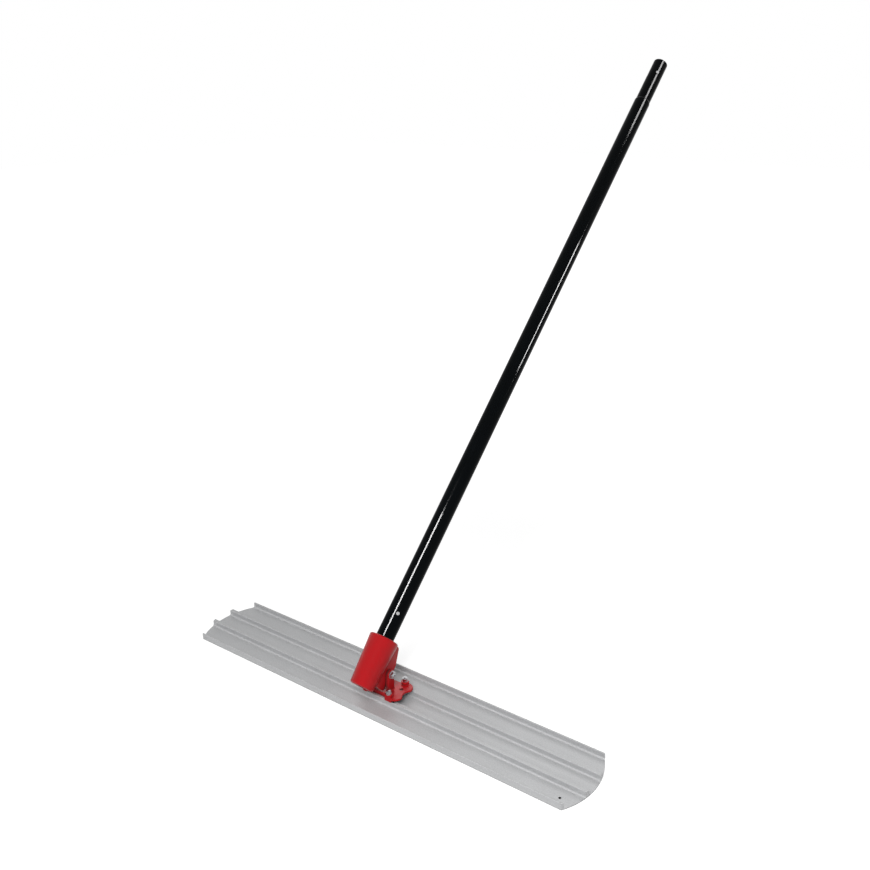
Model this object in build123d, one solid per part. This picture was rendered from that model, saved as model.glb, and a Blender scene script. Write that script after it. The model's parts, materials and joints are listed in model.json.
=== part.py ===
from build123d import *
import os
from math import cos, pi, radians, sin, sqrt, tan

# Bull float in millimetres: origin at the middle of the sole, X along the blade, Y towards the worker, Z up.

# Blade
BLADE_LENGTH = 1220.0
BLADE_WIDTH = 206.0
END_BULGE = 31.0  # how far each rounded end stands out at its middle
SOLE_THICKNESS = 3.2
LIP_HEIGHT = 19.0
LIP_THICKNESS = 4.0
LIP_HEEL_RADIUS = 1.5
LIP_EDGE_RADIUS = 1.6
RIB_SPACING = 67.0
RIB_WIDTH = 11.0
RIB_HEIGHT = 18.5
RIB_EDGE_RADIUS = 2.0
ROOT_FILLET = 5.0
HANG_HOLE_DIAMETER = 7.0
HANG_HOLE_FROM_END = 50.5
HANG_HOLE_FROM_FRONT = 30.0

# Pole and its sockets
POLE_LEAN = 46.9  # degrees from upright
TUBE_DIAMETER = 48.0
TUBE_WALL = 1.4
TUBE_LENGTH = 1986.0
SWAGE_DIAMETER = 44.4
SWAGE_LENGTH = 155.0
SWAGE_SEAT = 90.0  # full-size stretch that the next pole section sits on
SWAGE_RELIEF = 0.3  # how much slimmer the rest is, in radius
SWAGE_RUN = 4.0  # length of the cone between tube and swage
TUBE_EDGE = 0.6
STUB_CLEARANCE = 0.15
STUB_LENGTH = 150.0
STUB_WALL = 3.6
STUB_FLOOR = 12.0
FLANGE_THICKNESS = 4.5

# Snap buttons, worm pin and leaf clips
BUTTON_DIAMETER = 9.5
BUTTON_HOLE_DIAMETER = 10.0
BUTTON_PROUD = 3.6
BUTTON_OFFSET = 103.0  # from the end that each button holds
BUTTON_ANGLE = 40.0  # degrees round from the front
BUTTON_DOME = 2.4
BUTTON_FLANGE_DIAMETER = 13.0
BUTTON_FLANGE_HEIGHT = 1.5
BUTTON_FLANGE_GAP = 0.5
CLIP_WIDTH = 8.0
CLIP_THICKNESS = 0.8
CLIP_GAP = 0.1
CLIP_PAD = 9.0
CLIP_REACH = 46.0
CLIP_BEND = 4.0
ADAPTER_PIN_DIAMETER = 5.0
PIN_CLEARANCE = 0.05

# Worm drive
MODULE = 2.5
WORM_STARTS = 2
WORM_PITCH_RADIUS = 12.5
WORM_HALF_LENGTH = 16.0
WORM_JOURNAL_RADIUS = 8.0
WHEEL_TEETH = 30
WHEEL_FACE = 14.0
WHEEL_SECTOR_TEETH = 10
WHEEL_HUB_RADIUS = 16.0
WHEEL_HUB_LENGTH = 36.4
PRESSURE_ANGLE = 20.0
BACKLASH = 0.5
ROOT_CLEARANCE = 0.5

# Housing, its bearings and seal
HOOD_CLEARANCE = 2.0
HOOD_WALL = 4.0
HOOD_TO_BASE = 3.0
HOOD_CREST = 6.0  # how far the hood's top stands behind the barrel
HOOD_REAR = 18.0  # behind the axle
HOOD_SHOULDER = 25.0  # height of the sloping back's foot above the axle
HOOD_DROP = 3.0  # from the barrel's top down to the hood's
HOOD_CORNER = 9.0
HOOD_EDGE = 3.0
HOOD_BLEND = 5.0
HOOD_MOUTH = 24.0  # the hood is open underneath, from this far below the axle
CHEEK_THICKNESS = 6.0
CHEEK_CLEARANCE = 0.3
CHAMBER_CLEARANCE = 0.8
FLOOR_CLEARANCE = 4.5
FLOOR_THICKNESS = 16.0
FOOT_RECESS_DEPTH = 9.8
FOOT_RECESS_RADIUS = 14.5
BARREL_TOP_WALL = 11.5
BARREL_FOOT_WALL = 6.5
BARREL_TOP_ROUND = 5.0
BARREL_FOOT_ROUND = 5.0
POCKET_DEPTH = 36.0
BUSH_WALL = 3.7
BUSH_STEP = 4.0
RUNNING_CLEARANCE = 0.05
SEAL_HEIGHT = 7.0
SEAL_PROUD = 1.5
SEAL_GAP = 0.2
LOWER_BUSH_WALL = 4.0
LOWER_BUSH_FLANGE = 2.5
THRUST_THICKNESS = 1.5
AXIAL_GAP = 0.15
RING_THICKNESS = 1.2
RETAINER_THICKNESS = 1.3

# Axle
AXLE_RADIUS = 7.0
AXLE_THREAD_RADIUS = 5.0
AXLE_FLATS = 17.0
AXLE_HEAD_HEIGHT = 6.4
AXLE_NUT_HEIGHT = 6.0
AXLE_POINT = 2.0
AXLE_WASHER_RADIUS = 10.5
AXLE_WASHER_THICKNESS = 2.0
PIVOT_BUSH_WALL = 3.0
KEY_SIZE = 5.0
KEY_LENGTH = 24.0
SHIM = 0.05  # gap between pieces that do not move on each other

# Base bracket
BASE_HEIGHT = 10.5
BASE_OVERHANG = 1.5
BASE_PLATE = 4.5
BASE_RAIL = 18.0
BASE_LEFT = 44.0
BASE_RIGHT = 72.0
BASE_CORNER = 20.0
BASE_LEFT_CORNER = 10.0
WAIST_DEPTH = 7.5  # hollow in the wing's free edge, between the pads
WAIST_HALF = 17.0
WAIST_ROUND = 5.0
BAY_DEPTH = 10.0  # hollows in the long edges, between the pads
BAY_MARGIN = 1.0
BAY_CORNER = 5.0
BAY_ROUND = 3.5
RAIL_END = 54.0  # the wing overhangs beyond the rails
BASE_EDGE = 1.5
LUG_GAP = 0.5
LUG_THICKNESS = 8.0
LUG_BOSS_RADIUS = 11.5
LUG_FOOT_FRONT = 14.0  # in front of the axle
LUG_FOOT_REAR = 11.5  # behind the axle
LUG_EDGE = 1.5
LUG_FILLET = 2.0
PIVOT_FORWARD = 10.5
WING_HOLE_DIAMETER = 10.0
WING_HOLE_X = 50.0
WING_HOLE_Y = 8.0

# Bracket studs and nuts
BOLT_RADIUS = 4.0
BOLT_HOLE_RADIUS = 4.4
BOLT_FLATS = 13.0
BOLT_NUT_HEIGHT = 6.5
SEAT_RADIUS = 10.5  # round pads on the base, under the nuts
SEAT_HEIGHT = 7.0
SEAT_EDGE = 1.2
BOLT_POINT = 2.5  # how far a stud stands out of its nut
BOLT_DEPTH = 12.0  # below the rib's top
STUD_CHAMFER = 0.8
BOLT_RIGHT = 42.0
BOLT_LEFT = 36.0
BOLT_WASHER_RADIUS = 7.0
BOLT_WASHER_THICKNESS = 1.6
LOCK_WASHER_RADIUS = 6.8
LOCK_WASHER_THICKNESS = 2.1
LOCK_WASHER_SLIT = 1.2

# Worm drive proportions
WORM_TIP = WORM_PITCH_RADIUS + MODULE
WORM_ROOT = WORM_PITCH_RADIUS - MODULE - ROOT_CLEARANCE
WORM_LEAD = pi * MODULE * WORM_STARTS
WHEEL_PITCH_RADIUS = MODULE * WHEEL_TEETH / 2
WHEEL_TIP = WHEEL_PITCH_RADIUS + MODULE
WHEEL_ROOT = WHEEL_PITCH_RADIUS - MODULE - ROOT_CLEARANCE
CENTRE_DISTANCE = WORM_PITCH_RADIUS + WHEEL_PITCH_RADIUS
TOOTH_STEP = 360.0 / WHEEL_TEETH

# Radii about the pole's axis
TUBE_RADIUS = TUBE_DIAMETER / 2
TUBE_BORE = TUBE_RADIUS - TUBE_WALL
SWAGE_RADIUS = SWAGE_DIAMETER / 2
LEAD_RADIUS = SWAGE_RADIUS - SWAGE_RELIEF
SWAGE_BORE = SWAGE_RADIUS - TUBE_WALL
STUB_RADIUS = TUBE_BORE - STUB_CLEARANCE
STUB_BORE = STUB_RADIUS - STUB_WALL
FLANGE_RADIUS = TUBE_RADIUS
CHAMBER_RADIUS = FLANGE_RADIUS + CHAMBER_CLEARANCE
UPPER_BUSH_RADIUS = TUBE_RADIUS + RUNNING_CLEARANCE + BUSH_WALL
BARREL_TOP_RADIUS = UPPER_BUSH_RADIUS + BARREL_TOP_WALL
BARREL_FOOT_RADIUS = CHAMBER_RADIUS + BARREL_FOOT_WALL
LOWER_BUSH_RADIUS = WORM_JOURNAL_RADIUS + RUNNING_CLEARANCE + LOWER_BUSH_WALL
ADAPTER_NECK_RADIUS = WORM_ROOT + 3.5

# Heights along the pole's axis, from the level of the axle
FLANGE_FOOT = sqrt(WHEEL_TIP**2 - (CENTRE_DISTANCE - FLANGE_RADIUS) ** 2) + 0.75
NECK_FOOT = WORM_HALF_LENGTH + 2.0
TUBE_FOOT = FLANGE_FOOT + FLANGE_THICKNESS
TUBE_TIP = TUBE_FOOT + TUBE_LENGTH
SWAGE_FOOT = TUBE_TIP - SWAGE_LENGTH
LEAD_FOOT = SWAGE_FOOT + SWAGE_SEAT
LOWER_BUTTON_HEIGHT = TUBE_FOOT + BUTTON_OFFSET
UPPER_BUTTON_HEIGHT = SWAGE_FOOT + BUTTON_OFFSET
BARREL_TOP = TUBE_FOOT + POCKET_DEPTH
CHAMBER_FLOOR = -sqrt(WHEEL_TIP**2 - (CENTRE_DISTANCE - CHAMBER_RADIUS) ** 2) - FLOOR_CLEARANCE
RECESS_CEILING = CHAMBER_FLOOR - FLOOR_THICKNESS
BARREL_FOOT = RECESS_CEILING - FOOT_RECESS_DEPTH
THRUST_FOOT = CHAMBER_FLOOR + LOWER_BUSH_FLANGE
WORM_SHOULDER = THRUST_FOOT + THRUST_THICKNESS + AXIAL_GAP
RETAINER_FOOT = RECESS_CEILING - AXIAL_GAP - RETAINER_THICKNESS
RING_FOOT = RETAINER_FOOT - AXIAL_GAP - RING_THICKNESS
BUSH_SEAT = TUBE_FOOT + BUSH_STEP
SEAL_SEAT = BARREL_TOP + SEAL_PROUD - SEAL_HEIGHT

# Distances across the axle
HOOD_RADIUS = WHEEL_TIP + HOOD_CLEARANCE + HOOD_WALL
HOOD_BORE = WHEEL_TIP + HOOD_CLEARANCE
CHEEK_INNER = WHEEL_HUB_LENGTH / 2 + CHEEK_CLEARANCE
CHEEK_OUTER = CHEEK_INNER + CHEEK_THICKNESS
LUG_INNER = CHEEK_OUTER + LUG_GAP
LUG_OUTER = LUG_INNER + LUG_THICKNESS
WASHER_OUTER = LUG_OUTER + AXLE_WASHER_THICKNESS
PIVOT_BUSH_RADIUS = AXLE_RADIUS + RUNNING_CLEARANCE + PIVOT_BUSH_WALL

# Places
BASE_TOP = RIB_HEIGHT + BASE_HEIGHT
BASE_WIDTH = RIB_SPACING + RIB_WIDTH + 2 * BASE_OVERHANG
SEAT_TOP = BASE_TOP + SEAT_HEIGHT
NUT_TOP = SEAT_TOP + BOLT_WASHER_THICKNESS + LOCK_WASHER_THICKNESS + BOLT_NUT_HEIGHT
PIVOT_Y = -PIVOT_FORWARD
PIVOT_Z = BASE_TOP + HOOD_RADIUS + HOOD_TO_BASE
POLE_AXIS = Vector(0, sin(radians(POLE_LEAN)), cos(radians(POLE_LEAN)))
FRONT_AXIS = Vector(0, -cos(radians(POLE_LEAN)), sin(radians(POLE_LEAN)))
PIVOT = Vector(0, PIVOT_Y, PIVOT_Z)
POLE_FRAME = Plane(origin=PIVOT + FRONT_AXIS * CENTRE_DISTANCE, x_dir=(1, 0, 0), z_dir=POLE_AXIS)
BOLT_PLACES = [
    (BOLT_RIGHT, -RIB_SPACING / 2),
    (BOLT_RIGHT, RIB_SPACING / 2),
    (-BOLT_LEFT, -RIB_SPACING / 2),
    (-BOLT_LEFT, RIB_SPACING / 2),
]


# Small helpers
def rod(radius, foot, top):
    """Cylinder on the Z axis between two heights."""
    return Pos(0, 0, foot) * Cylinder(radius, top - foot, align=(Align.CENTER, Align.CENTER, Align.MIN))


def ring(outer, inner, foot, top):
    """Plain ring on the Z axis between two heights."""
    return rod(outer, foot, top) - rod(inner, foot - 1, top + 1)


def hexagon(flats, foot, top):
    """Hexagon on the Z axis with its upper corners turned off."""
    corner = flats / sqrt(3)
    blank = Pos(0, 0, foot) * extrude(RegularPolygon(flats / 2, 6, major_radius=False), top - foot)
    turned = rod(corner + 0.01, foot - 1, top)
    turned = chamfer(turned.faces().sort_by(Axis.Z)[-1].edges(), (corner - flats / 2) * 0.6)
    return blank & turned


def cross_rod(radius, half_length):
    """Cylinder along X, centred."""
    return Rot(0, 90, 0) * Cylinder(radius, 2 * half_length)


def at_axle(shape):
    """Turn a shape standing on Z so that it lies along +X on the axle's line."""
    return Pos(0, PIVOT_Y, PIVOT_Z) * Rot(0, 90, 0) * shape


def on_pole(shape):
    """Carry a shape drawn about the Z axis to the pole's axis."""
    return POLE_FRAME * shape


def radial_plane(height):
    """Plane on the pole's axis that looks outwards through a snap button, its x along the pole."""
    outwards = (sin(radians(BUTTON_ANGLE)), -cos(radians(BUTTON_ANGLE)), 0)
    return Plane(origin=(0, 0, height), x_dir=(0, 0, 1), z_dir=outwards)


def polar(radius, degrees_round):
    return (radius * cos(radians(degrees_round)), radius * sin(radians(degrees_round)))


# Blade
def make_blade():
    half = BLADE_WIDTH / 2
    sole = Pos(0, SOLE_THICKNESS / 2) * Rectangle(BLADE_WIDTH, SOLE_THICKNESS)
    lip = Rectangle(LIP_THICKNESS, LIP_HEIGHT)
    rib = Rectangle(RIB_WIDTH, RIB_HEIGHT)
    section = sole
    for side in (-1, 1):
        section += Pos(side * (half - LIP_THICKNESS / 2), LIP_HEIGHT / 2) * lip
        section += Pos(side * RIB_SPACING / 2, RIB_HEIGHT / 2) * rib
    corners = section.vertices()
    roots = corners.filter_by(lambda v: abs(v.Y - SOLE_THICKNESS) < 0.01)
    section = fillet(roots, ROOT_FILLET)
    heels = section.vertices().filter_by(lambda v: v.Y < 0.01 and abs(v.X) > half - 0.01)
    section = fillet(heels, LIP_HEEL_RADIUS)
    lips = section.vertices().filter_by(lambda v: abs(v.X) > half - 2 * LIP_THICKNESS)
    lips = lips.filter_by(lambda v: v.Y > LIP_HEIGHT - 0.01)
    section = fillet(lips, min(LIP_EDGE_RADIUS, 0.45 * LIP_THICKNESS))
    ribs = section.vertices().filter_by(lambda v: abs(v.X) < half - 2 * LIP_THICKNESS)
    ribs = ribs.filter_by(lambda v: v.Y > RIB_HEIGHT - 0.01)
    section = fillet(ribs, min(RIB_EDGE_RADIUS, 0.45 * RIB_WIDTH))
    bar = extrude(Plane.YZ * section, BLADE_LENGTH / 2, both=True)
    end = BLADE_LENGTH / 2
    shoulder = end - END_BULGE
    plan = Line((-shoulder, -half), (shoulder, -half))
    plan += ThreePointArc((shoulder, -half), (end, 0), (shoulder, half))
    plan += Line((shoulder, half), (-shoulder, half))
    plan += ThreePointArc((-shoulder, half), (-end, 0), (-shoulder, -half))
    blade = bar & extrude(make_face(plan), max(LIP_HEIGHT, RIB_HEIGHT) + 1)
    for x, y in BOLT_PLACES:
        blade -= Pos(x, y, 0) * rod(BOLT_HOLE_RADIUS, RIB_HEIGHT - BOLT_DEPTH - 1, RIB_HEIGHT + 1)
    hang_x = end - HANG_HOLE_FROM_END
    hang_y = HANG_HOLE_FROM_FRONT - half
    blade -= Pos(hang_x, hang_y, 0) * rod(HANG_HOLE_DIAMETER / 2, -1, SOLE_THICKNESS + 1)
    return blade


# Base bracket
def base_plan():
    """The base seen from above: bays in its long edges, a waist in the wing's free edge, rounded corners."""
    length = BASE_LEFT + BASE_RIGHT
    plan = Pos((BASE_RIGHT - BASE_LEFT) / 2, 0) * Rectangle(length, BASE_WIDTH)
    bay_left = SEAT_RADIUS + BAY_MARGIN - BOLT_LEFT
    bay_right = BOLT_RIGHT - SEAT_RADIUS - BAY_MARGIN
    bay = RectangleRounded(bay_right - bay_left, 2 * BAY_DEPTH, BAY_ROUND)
    for edge in (-BASE_WIDTH / 2, BASE_WIDTH / 2):
        plan -= Pos((bay_left + bay_right) / 2, edge) * bay
    bays = plan.vertices().filter_by(lambda v: bay_left - 0.01 < v.X < bay_right + 0.01)
    plan = fillet(bays.filter_by(lambda v: abs(v.Y) > BASE_WIDTH / 2 - 0.01), BAY_CORNER)
    waist_radius = (WAIST_HALF**2 + WAIST_DEPTH**2) / (2 * WAIST_DEPTH)
    plan -= Pos(BASE_RIGHT - WAIST_DEPTH + waist_radius, 0) * Circle(waist_radius)
    right = plan.vertices().filter_by(lambda v: v.X > BASE_RIGHT - 0.01)
    plan = fillet(right.filter_by(lambda v: abs(v.Y) < WAIST_HALF + 0.01), WAIST_ROUND)
    right = plan.vertices().filter_by(lambda v: v.X > BASE_RIGHT - 0.01)
    plan = fillet(right.filter_by(lambda v: abs(v.Y) > BASE_WIDTH / 2 - 0.01), BASE_CORNER)
    return fillet(plan.vertices().filter_by(lambda v: v.X < -BASE_LEFT + 0.01), BASE_LEFT_CORNER)


def make_seat(x, y):
    """A round pad that a nut sits on, kept inside the base's outline."""
    pad = base_plan() & (Pos(x, y) * Circle(SEAT_RADIUS))
    seat = Pos(0, 0, BASE_TOP - BASE_PLATE / 2) * extrude(pad, SEAT_TOP - BASE_TOP + BASE_PLATE / 2)
    return fillet(seat.faces().sort_by(Axis.Z)[-1].edges(), SEAT_EDGE)


def make_base():
    length = BASE_LEFT + BASE_RIGHT
    middle = (BASE_RIGHT - BASE_LEFT) / 2
    base = Pos(0, 0, RIB_HEIGHT) * extrude(base_plan(), BASE_HEIGHT)
    base = fillet(base.faces().sort_by(Axis.Z)[-1].edges(), BASE_EDGE)
    channel = Box(length + 2, BASE_WIDTH - 2 * BASE_RAIL, BASE_HEIGHT - BASE_PLATE + 1)
    base -= Pos(middle, 0, RIB_HEIGHT + (BASE_HEIGHT - BASE_PLATE - 1) / 2) * channel
    overhang = Box(BASE_RIGHT, BASE_WIDTH + 2, BASE_HEIGHT - BASE_PLATE + 1)
    base -= Pos(RAIL_END + BASE_RIGHT / 2, 0, RIB_HEIGHT + (BASE_HEIGHT - BASE_PLATE - 1) / 2) * overhang
    for side in (-1, 1):
        base += make_lug(side)
    level = base.edges().filter_by(lambda e: abs(e.bounding_box().size.Z) < 0.01)
    on_top = level.filter_by(lambda e: abs(e.center().Z - BASE_TOP) < 0.01)
    lug_feet = on_top.filter_by(lambda e: LUG_INNER + 0.01 < abs(e.center().X) < LUG_OUTER + 0.01)
    front = PIVOT_Y - LUG_FOOT_FRONT
    rear = PIVOT_Y + LUG_FOOT_REAR
    lug_feet = lug_feet.filter_by(lambda e: front - 0.01 < e.center().Y < rear + 0.01)
    base = fillet(lug_feet, LUG_FILLET)
    for x, y in BOLT_PLACES:
        base += make_seat(x, y)
    base -= at_axle(rod(AXLE_RADIUS + SHIM, -WASHER_OUTER, WASHER_OUTER))
    for x, y in BOLT_PLACES:
        base -= Pos(x, y, 0) * rod(BOLT_HOLE_RADIUS, RIB_HEIGHT - 1, SEAT_TOP + 1)
    base -= Pos(WING_HOLE_X, WING_HOLE_Y, 0) * rod(WING_HOLE_DIAMETER / 2, RIB_HEIGHT, BASE_TOP + 1)
    return base


def make_lug(side):
    """One upright lug, from the base plate to a round boss on the axle."""
    front = PIVOT_Y - LUG_FOOT_FRONT
    rear = PIVOT_Y + LUG_FOOT_REAR
    boss = Pos(PIVOT_Y, PIVOT_Z) * Circle(LUG_BOSS_RADIUS)
    foot = Line((front, BASE_TOP - BASE_PLATE / 2), (rear, BASE_TOP - BASE_PLATE / 2))
    outline = make_hull(boss.edges() + foot.edges())
    lug = Pos(side * LUG_INNER, 0, 0) * extrude(Plane.YZ * outline, side * LUG_THICKNESS)
    outer = lug.faces().sort_by(Axis.X)[-1 if side > 0 else 0]
    return fillet(outer.edges(), LUG_EDGE)


# Bracket studs, nuts and washers
def make_studs():
    stud = rod(BOLT_RADIUS, RIB_HEIGHT - BOLT_DEPTH, NUT_TOP + BOLT_POINT)
    for end in (0, -1):
        stud = chamfer(stud.faces().sort_by(Axis.Z)[end].edges(), STUD_CHAMFER)
    return [Pos(x, y, 0) * stud for x, y in BOLT_PLACES]


def make_nuts():
    nut = hexagon(BOLT_FLATS, NUT_TOP - BOLT_NUT_HEIGHT, NUT_TOP)
    nut -= rod(BOLT_RADIUS + SHIM, BASE_TOP, NUT_TOP + 1)
    return [Pos(x, y, 0) * nut for x, y in BOLT_PLACES]


def make_bolt_washers():
    washer = ring(BOLT_WASHER_RADIUS, BOLT_HOLE_RADIUS, SEAT_TOP, SEAT_TOP + BOLT_WASHER_THICKNESS)
    return [Pos(x, y, 0) * washer for x, y in BOLT_PLACES]


def make_lock_washers():
    foot = SEAT_TOP + BOLT_WASHER_THICKNESS
    washer = ring(LOCK_WASHER_RADIUS, BOLT_HOLE_RADIUS - 0.2, foot, foot + LOCK_WASHER_THICKNESS)
    slit = Rot(20, 0, 0) * Box(2 * LOCK_WASHER_RADIUS, LOCK_WASHER_SLIT, 4 * LOCK_WASHER_THICKNESS)
    washer -= Pos(LOCK_WASHER_RADIUS, 0, foot + LOCK_WASHER_THICKNESS / 2) * slit
    return [Pos(x, y, 0) * Rot(0, 0, 35 * i) * washer for i, (x, y) in enumerate(BOLT_PLACES)]


# Axle, nut, washers and key
def key_block(extra):
    """The wheel's key, let into the axle's lower side; extra widens it for the slots."""
    box = Box(KEY_SIZE + 2 * extra, KEY_SIZE + 2 * extra, KEY_LENGTH + 2 * extra)
    return Pos(AXLE_RADIUS, 0, 0) * box


def make_axle():
    tip = WASHER_OUTER + AXLE_NUT_HEIGHT + AXLE_POINT
    axle = rod(AXLE_RADIUS, -WASHER_OUTER, LUG_OUTER)
    axle += rod(AXLE_THREAD_RADIUS, LUG_OUTER, tip)
    axle = chamfer(axle.faces().sort_by(Axis.Z)[-1].edges(), 1.2)
    head = Rot(180, 0, 0) * hexagon(AXLE_FLATS, WASHER_OUTER, WASHER_OUTER + AXLE_HEAD_HEIGHT)
    axle += head
    axle -= key_block(SHIM)
    return at_axle(axle)


def make_axle_nut():
    nut = hexagon(AXLE_FLATS, WASHER_OUTER, WASHER_OUTER + AXLE_NUT_HEIGHT)
    nut -= rod(AXLE_THREAD_RADIUS + SHIM, 0, 2 * WASHER_OUTER)
    return at_axle(nut)


def make_axle_washers():
    right = ring(AXLE_WASHER_RADIUS, AXLE_THREAD_RADIUS + 0.25, LUG_OUTER, WASHER_OUTER)
    left = ring(AXLE_WASHER_RADIUS, AXLE_RADIUS + 0.25, -WASHER_OUTER, -LUG_OUTER)
    return [at_axle(right), at_axle(left)]


def make_key():
    return at_axle(key_block(0))


# Worm and wheel
def thread_half_angle(radius):
    """Half the angle that one worm thread takes up at a radius, in degrees."""
    thickness = WORM_LEAD / WORM_STARTS / 2 - 2 * (radius - WORM_PITCH_RADIUS) * tan(radians(PRESSURE_ANGLE))
    return 180.0 * (thickness - BACKLASH) / WORM_LEAD


def worm_section():
    """Cut square across the worm: a lobe for each start, joined inside the root."""
    inner = WORM_ROOT - 0.5
    middle = (inner + WORM_TIP) / 2
    pitch = 360.0 / WORM_STARTS
    outline = Curve()
    for start in range(WORM_STARTS):
        centre = start * pitch
        rise = [polar(r, centre - thread_half_angle(r)) for r in (inner, middle, WORM_TIP)]
        fall = [polar(r, centre + thread_half_angle(r)) for r in (WORM_TIP, middle, inner)]
        following = polar(inner, centre + pitch - thread_half_angle(inner))
        outline += Spline(*rise)
        outline += ThreePointArc(rise[-1], polar(WORM_TIP, centre), fall[0])
        outline += Spline(*fall)
        outline += ThreePointArc(fall[-1], polar(inner, centre + pitch / 2), following)
    return make_face(outline)


def make_worm():
    length = 2 * WORM_HALF_LENGTH
    twist = 360.0 * length / WORM_LEAD
    section = Pos(0, 0, -WORM_HALF_LENGTH) * Rot(0, 0, 90 - twist / 2) * worm_section()
    foot = (0, 0, -WORM_HALF_LENGTH)
    thread = Solid.extrude_linear_with_rotation(section.face(), foot, (0, 0, length), twist)
    journal_foot = RING_FOOT - RING_THICKNESS
    worm = rod(WORM_ROOT, WORM_SHOULDER, NECK_FOOT) + thread
    worm += rod(WORM_JOURNAL_RADIUS, journal_foot, TUBE_FOOT + STUB_FLOOR)
    worm = chamfer(worm.faces().sort_by(Axis.Z)[0].edges(), 0.6)
    groove_top = RING_FOOT + RING_THICKNESS + SHIM
    worm -= ring(WORM_JOURNAL_RADIUS + 1, WORM_JOURNAL_RADIUS - 1, RING_FOOT - SHIM, groove_top)
    worm -= adapter_pin_hole()
    return on_pole(worm)


def adapter_pin_hole():
    middle = (NECK_FOOT + FLANGE_FOOT) / 2
    return Pos(0, 0, middle) * cross_rod(ADAPTER_PIN_DIAMETER / 2 + PIN_CLEARANCE, TUBE_RADIUS)


def make_adapter_pin():
    middle = (NECK_FOOT + FLANGE_FOOT) / 2
    pin = cross_rod(ADAPTER_PIN_DIAMETER / 2, ADAPTER_NECK_RADIUS - 0.3)
    return on_pole(Pos(0, 0, middle) * pin)


def tooth_half_angle(radius):
    """Half the angle that one wheel tooth takes up at a radius, in degrees."""
    thickness = pi * MODULE / 2 - 2 * (radius - WHEEL_PITCH_RADIUS) * tan(radians(PRESSURE_ANGLE))
    return 90.0 * (thickness - BACKLASH) / (pi * radius)


def make_wheel():
    count = WHEEL_SECTOR_TEETH
    first = -(count - 1) / 2 * TOOTH_STEP
    reach = count / 2 * TOOTH_STEP
    flank = (WHEEL_ROOT, WHEEL_PITCH_RADIUS, WHEEL_TIP)
    corners = [(0, 0), polar(WHEEL_ROOT, -reach)]
    for tooth in range(count):
        centre = first + tooth * TOOTH_STEP
        corners += [polar(r, centre - tooth_half_angle(r)) for r in flank]
        corners += [polar(r, centre + tooth_half_angle(r)) for r in reversed(flank)]
    corners += [polar(WHEEL_ROOT, reach), (0, 0)]
    helix = 360.0 * WORM_LEAD / (2 * pi * WORM_PITCH_RADIUS) * WHEEL_FACE / (2 * pi * WHEEL_PITCH_RADIUS)
    side = (0, 0, -WHEEL_FACE / 2)
    section = Pos(*side) * Rot(0, 0, -helix / 2) * make_face(Polyline(*corners))
    sector = Solid.extrude_linear_with_rotation(section.face(), side, (0, 0, WHEEL_FACE), helix)
    wheel = rod(WHEEL_HUB_RADIUS, -WHEEL_HUB_LENGTH / 2, WHEEL_HUB_LENGTH / 2) + sector
    wheel -= rod(AXLE_RADIUS + SHIM, -WHEEL_HUB_LENGTH, WHEEL_HUB_LENGTH)
    facing_worm = Plane(origin=PIVOT, x_dir=FRONT_AXIS, z_dir=(1, 0, 0))
    return facing_worm * wheel - at_axle(key_block(SHIM))


# Housing
def hood_profile():
    """Side view of the hood across the axle, y backwards and z along the pole: a drum with a sloping back."""
    back = CENTRE_DISTANCE + HOOD_REAR
    top = BARREL_TOP - HOOD_DROP
    crest = (BARREL_TOP_RADIUS + HOOD_CREST, top)
    shoulder = (back, HOOD_SHOULDER)
    far = -4 * HOOD_RADIUS
    drum = Pos(CENTRE_DISTANCE, 0) * Circle(HOOD_RADIUS)
    web = make_face(Polyline((0, 0), (back, 0), shoulder, crest, (0, top), (0, 0)))
    below_slope = make_face(Polyline((far, far), (back, far), shoulder, crest, (far, top), (far, far)))
    profile = (drum & below_slope) + web
    outer = profile.vertices().filter_by(lambda v: v.X > BARREL_TOP_RADIUS - 0.01)
    corners = outer.filter_by(lambda v: v.X > back - 0.01 or v.Y > top - 0.01)
    return fillet(corners, HOOD_CORNER)


def make_hood():
    hood = extrude(Plane.YZ * hood_profile(), CHEEK_OUTER, both=True)
    for end in (0, -1):
        side = hood.faces().sort_by(Axis.X)[end]
        rim = side.edges().filter_by(lambda e: e.center().Y > CENTRE_DISTANCE / 2)
        hood = fillet(rim, HOOD_EDGE)
    return hood


def make_barrel():
    height = BARREL_TOP - BARREL_FOOT
    cone = Cone(BARREL_FOOT_RADIUS, BARREL_TOP_RADIUS, height, align=(Align.CENTER, Align.CENTER, Align.MIN))
    cone = fillet(cone.faces().sort_by(Axis.Z)[-1].edges(), BARREL_TOP_ROUND)
    cone = fillet(cone.faces().sort_by(Axis.Z)[0].edges(), BARREL_FOOT_ROUND)
    return Pos(0, 0, BARREL_FOOT) * cone


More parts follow.
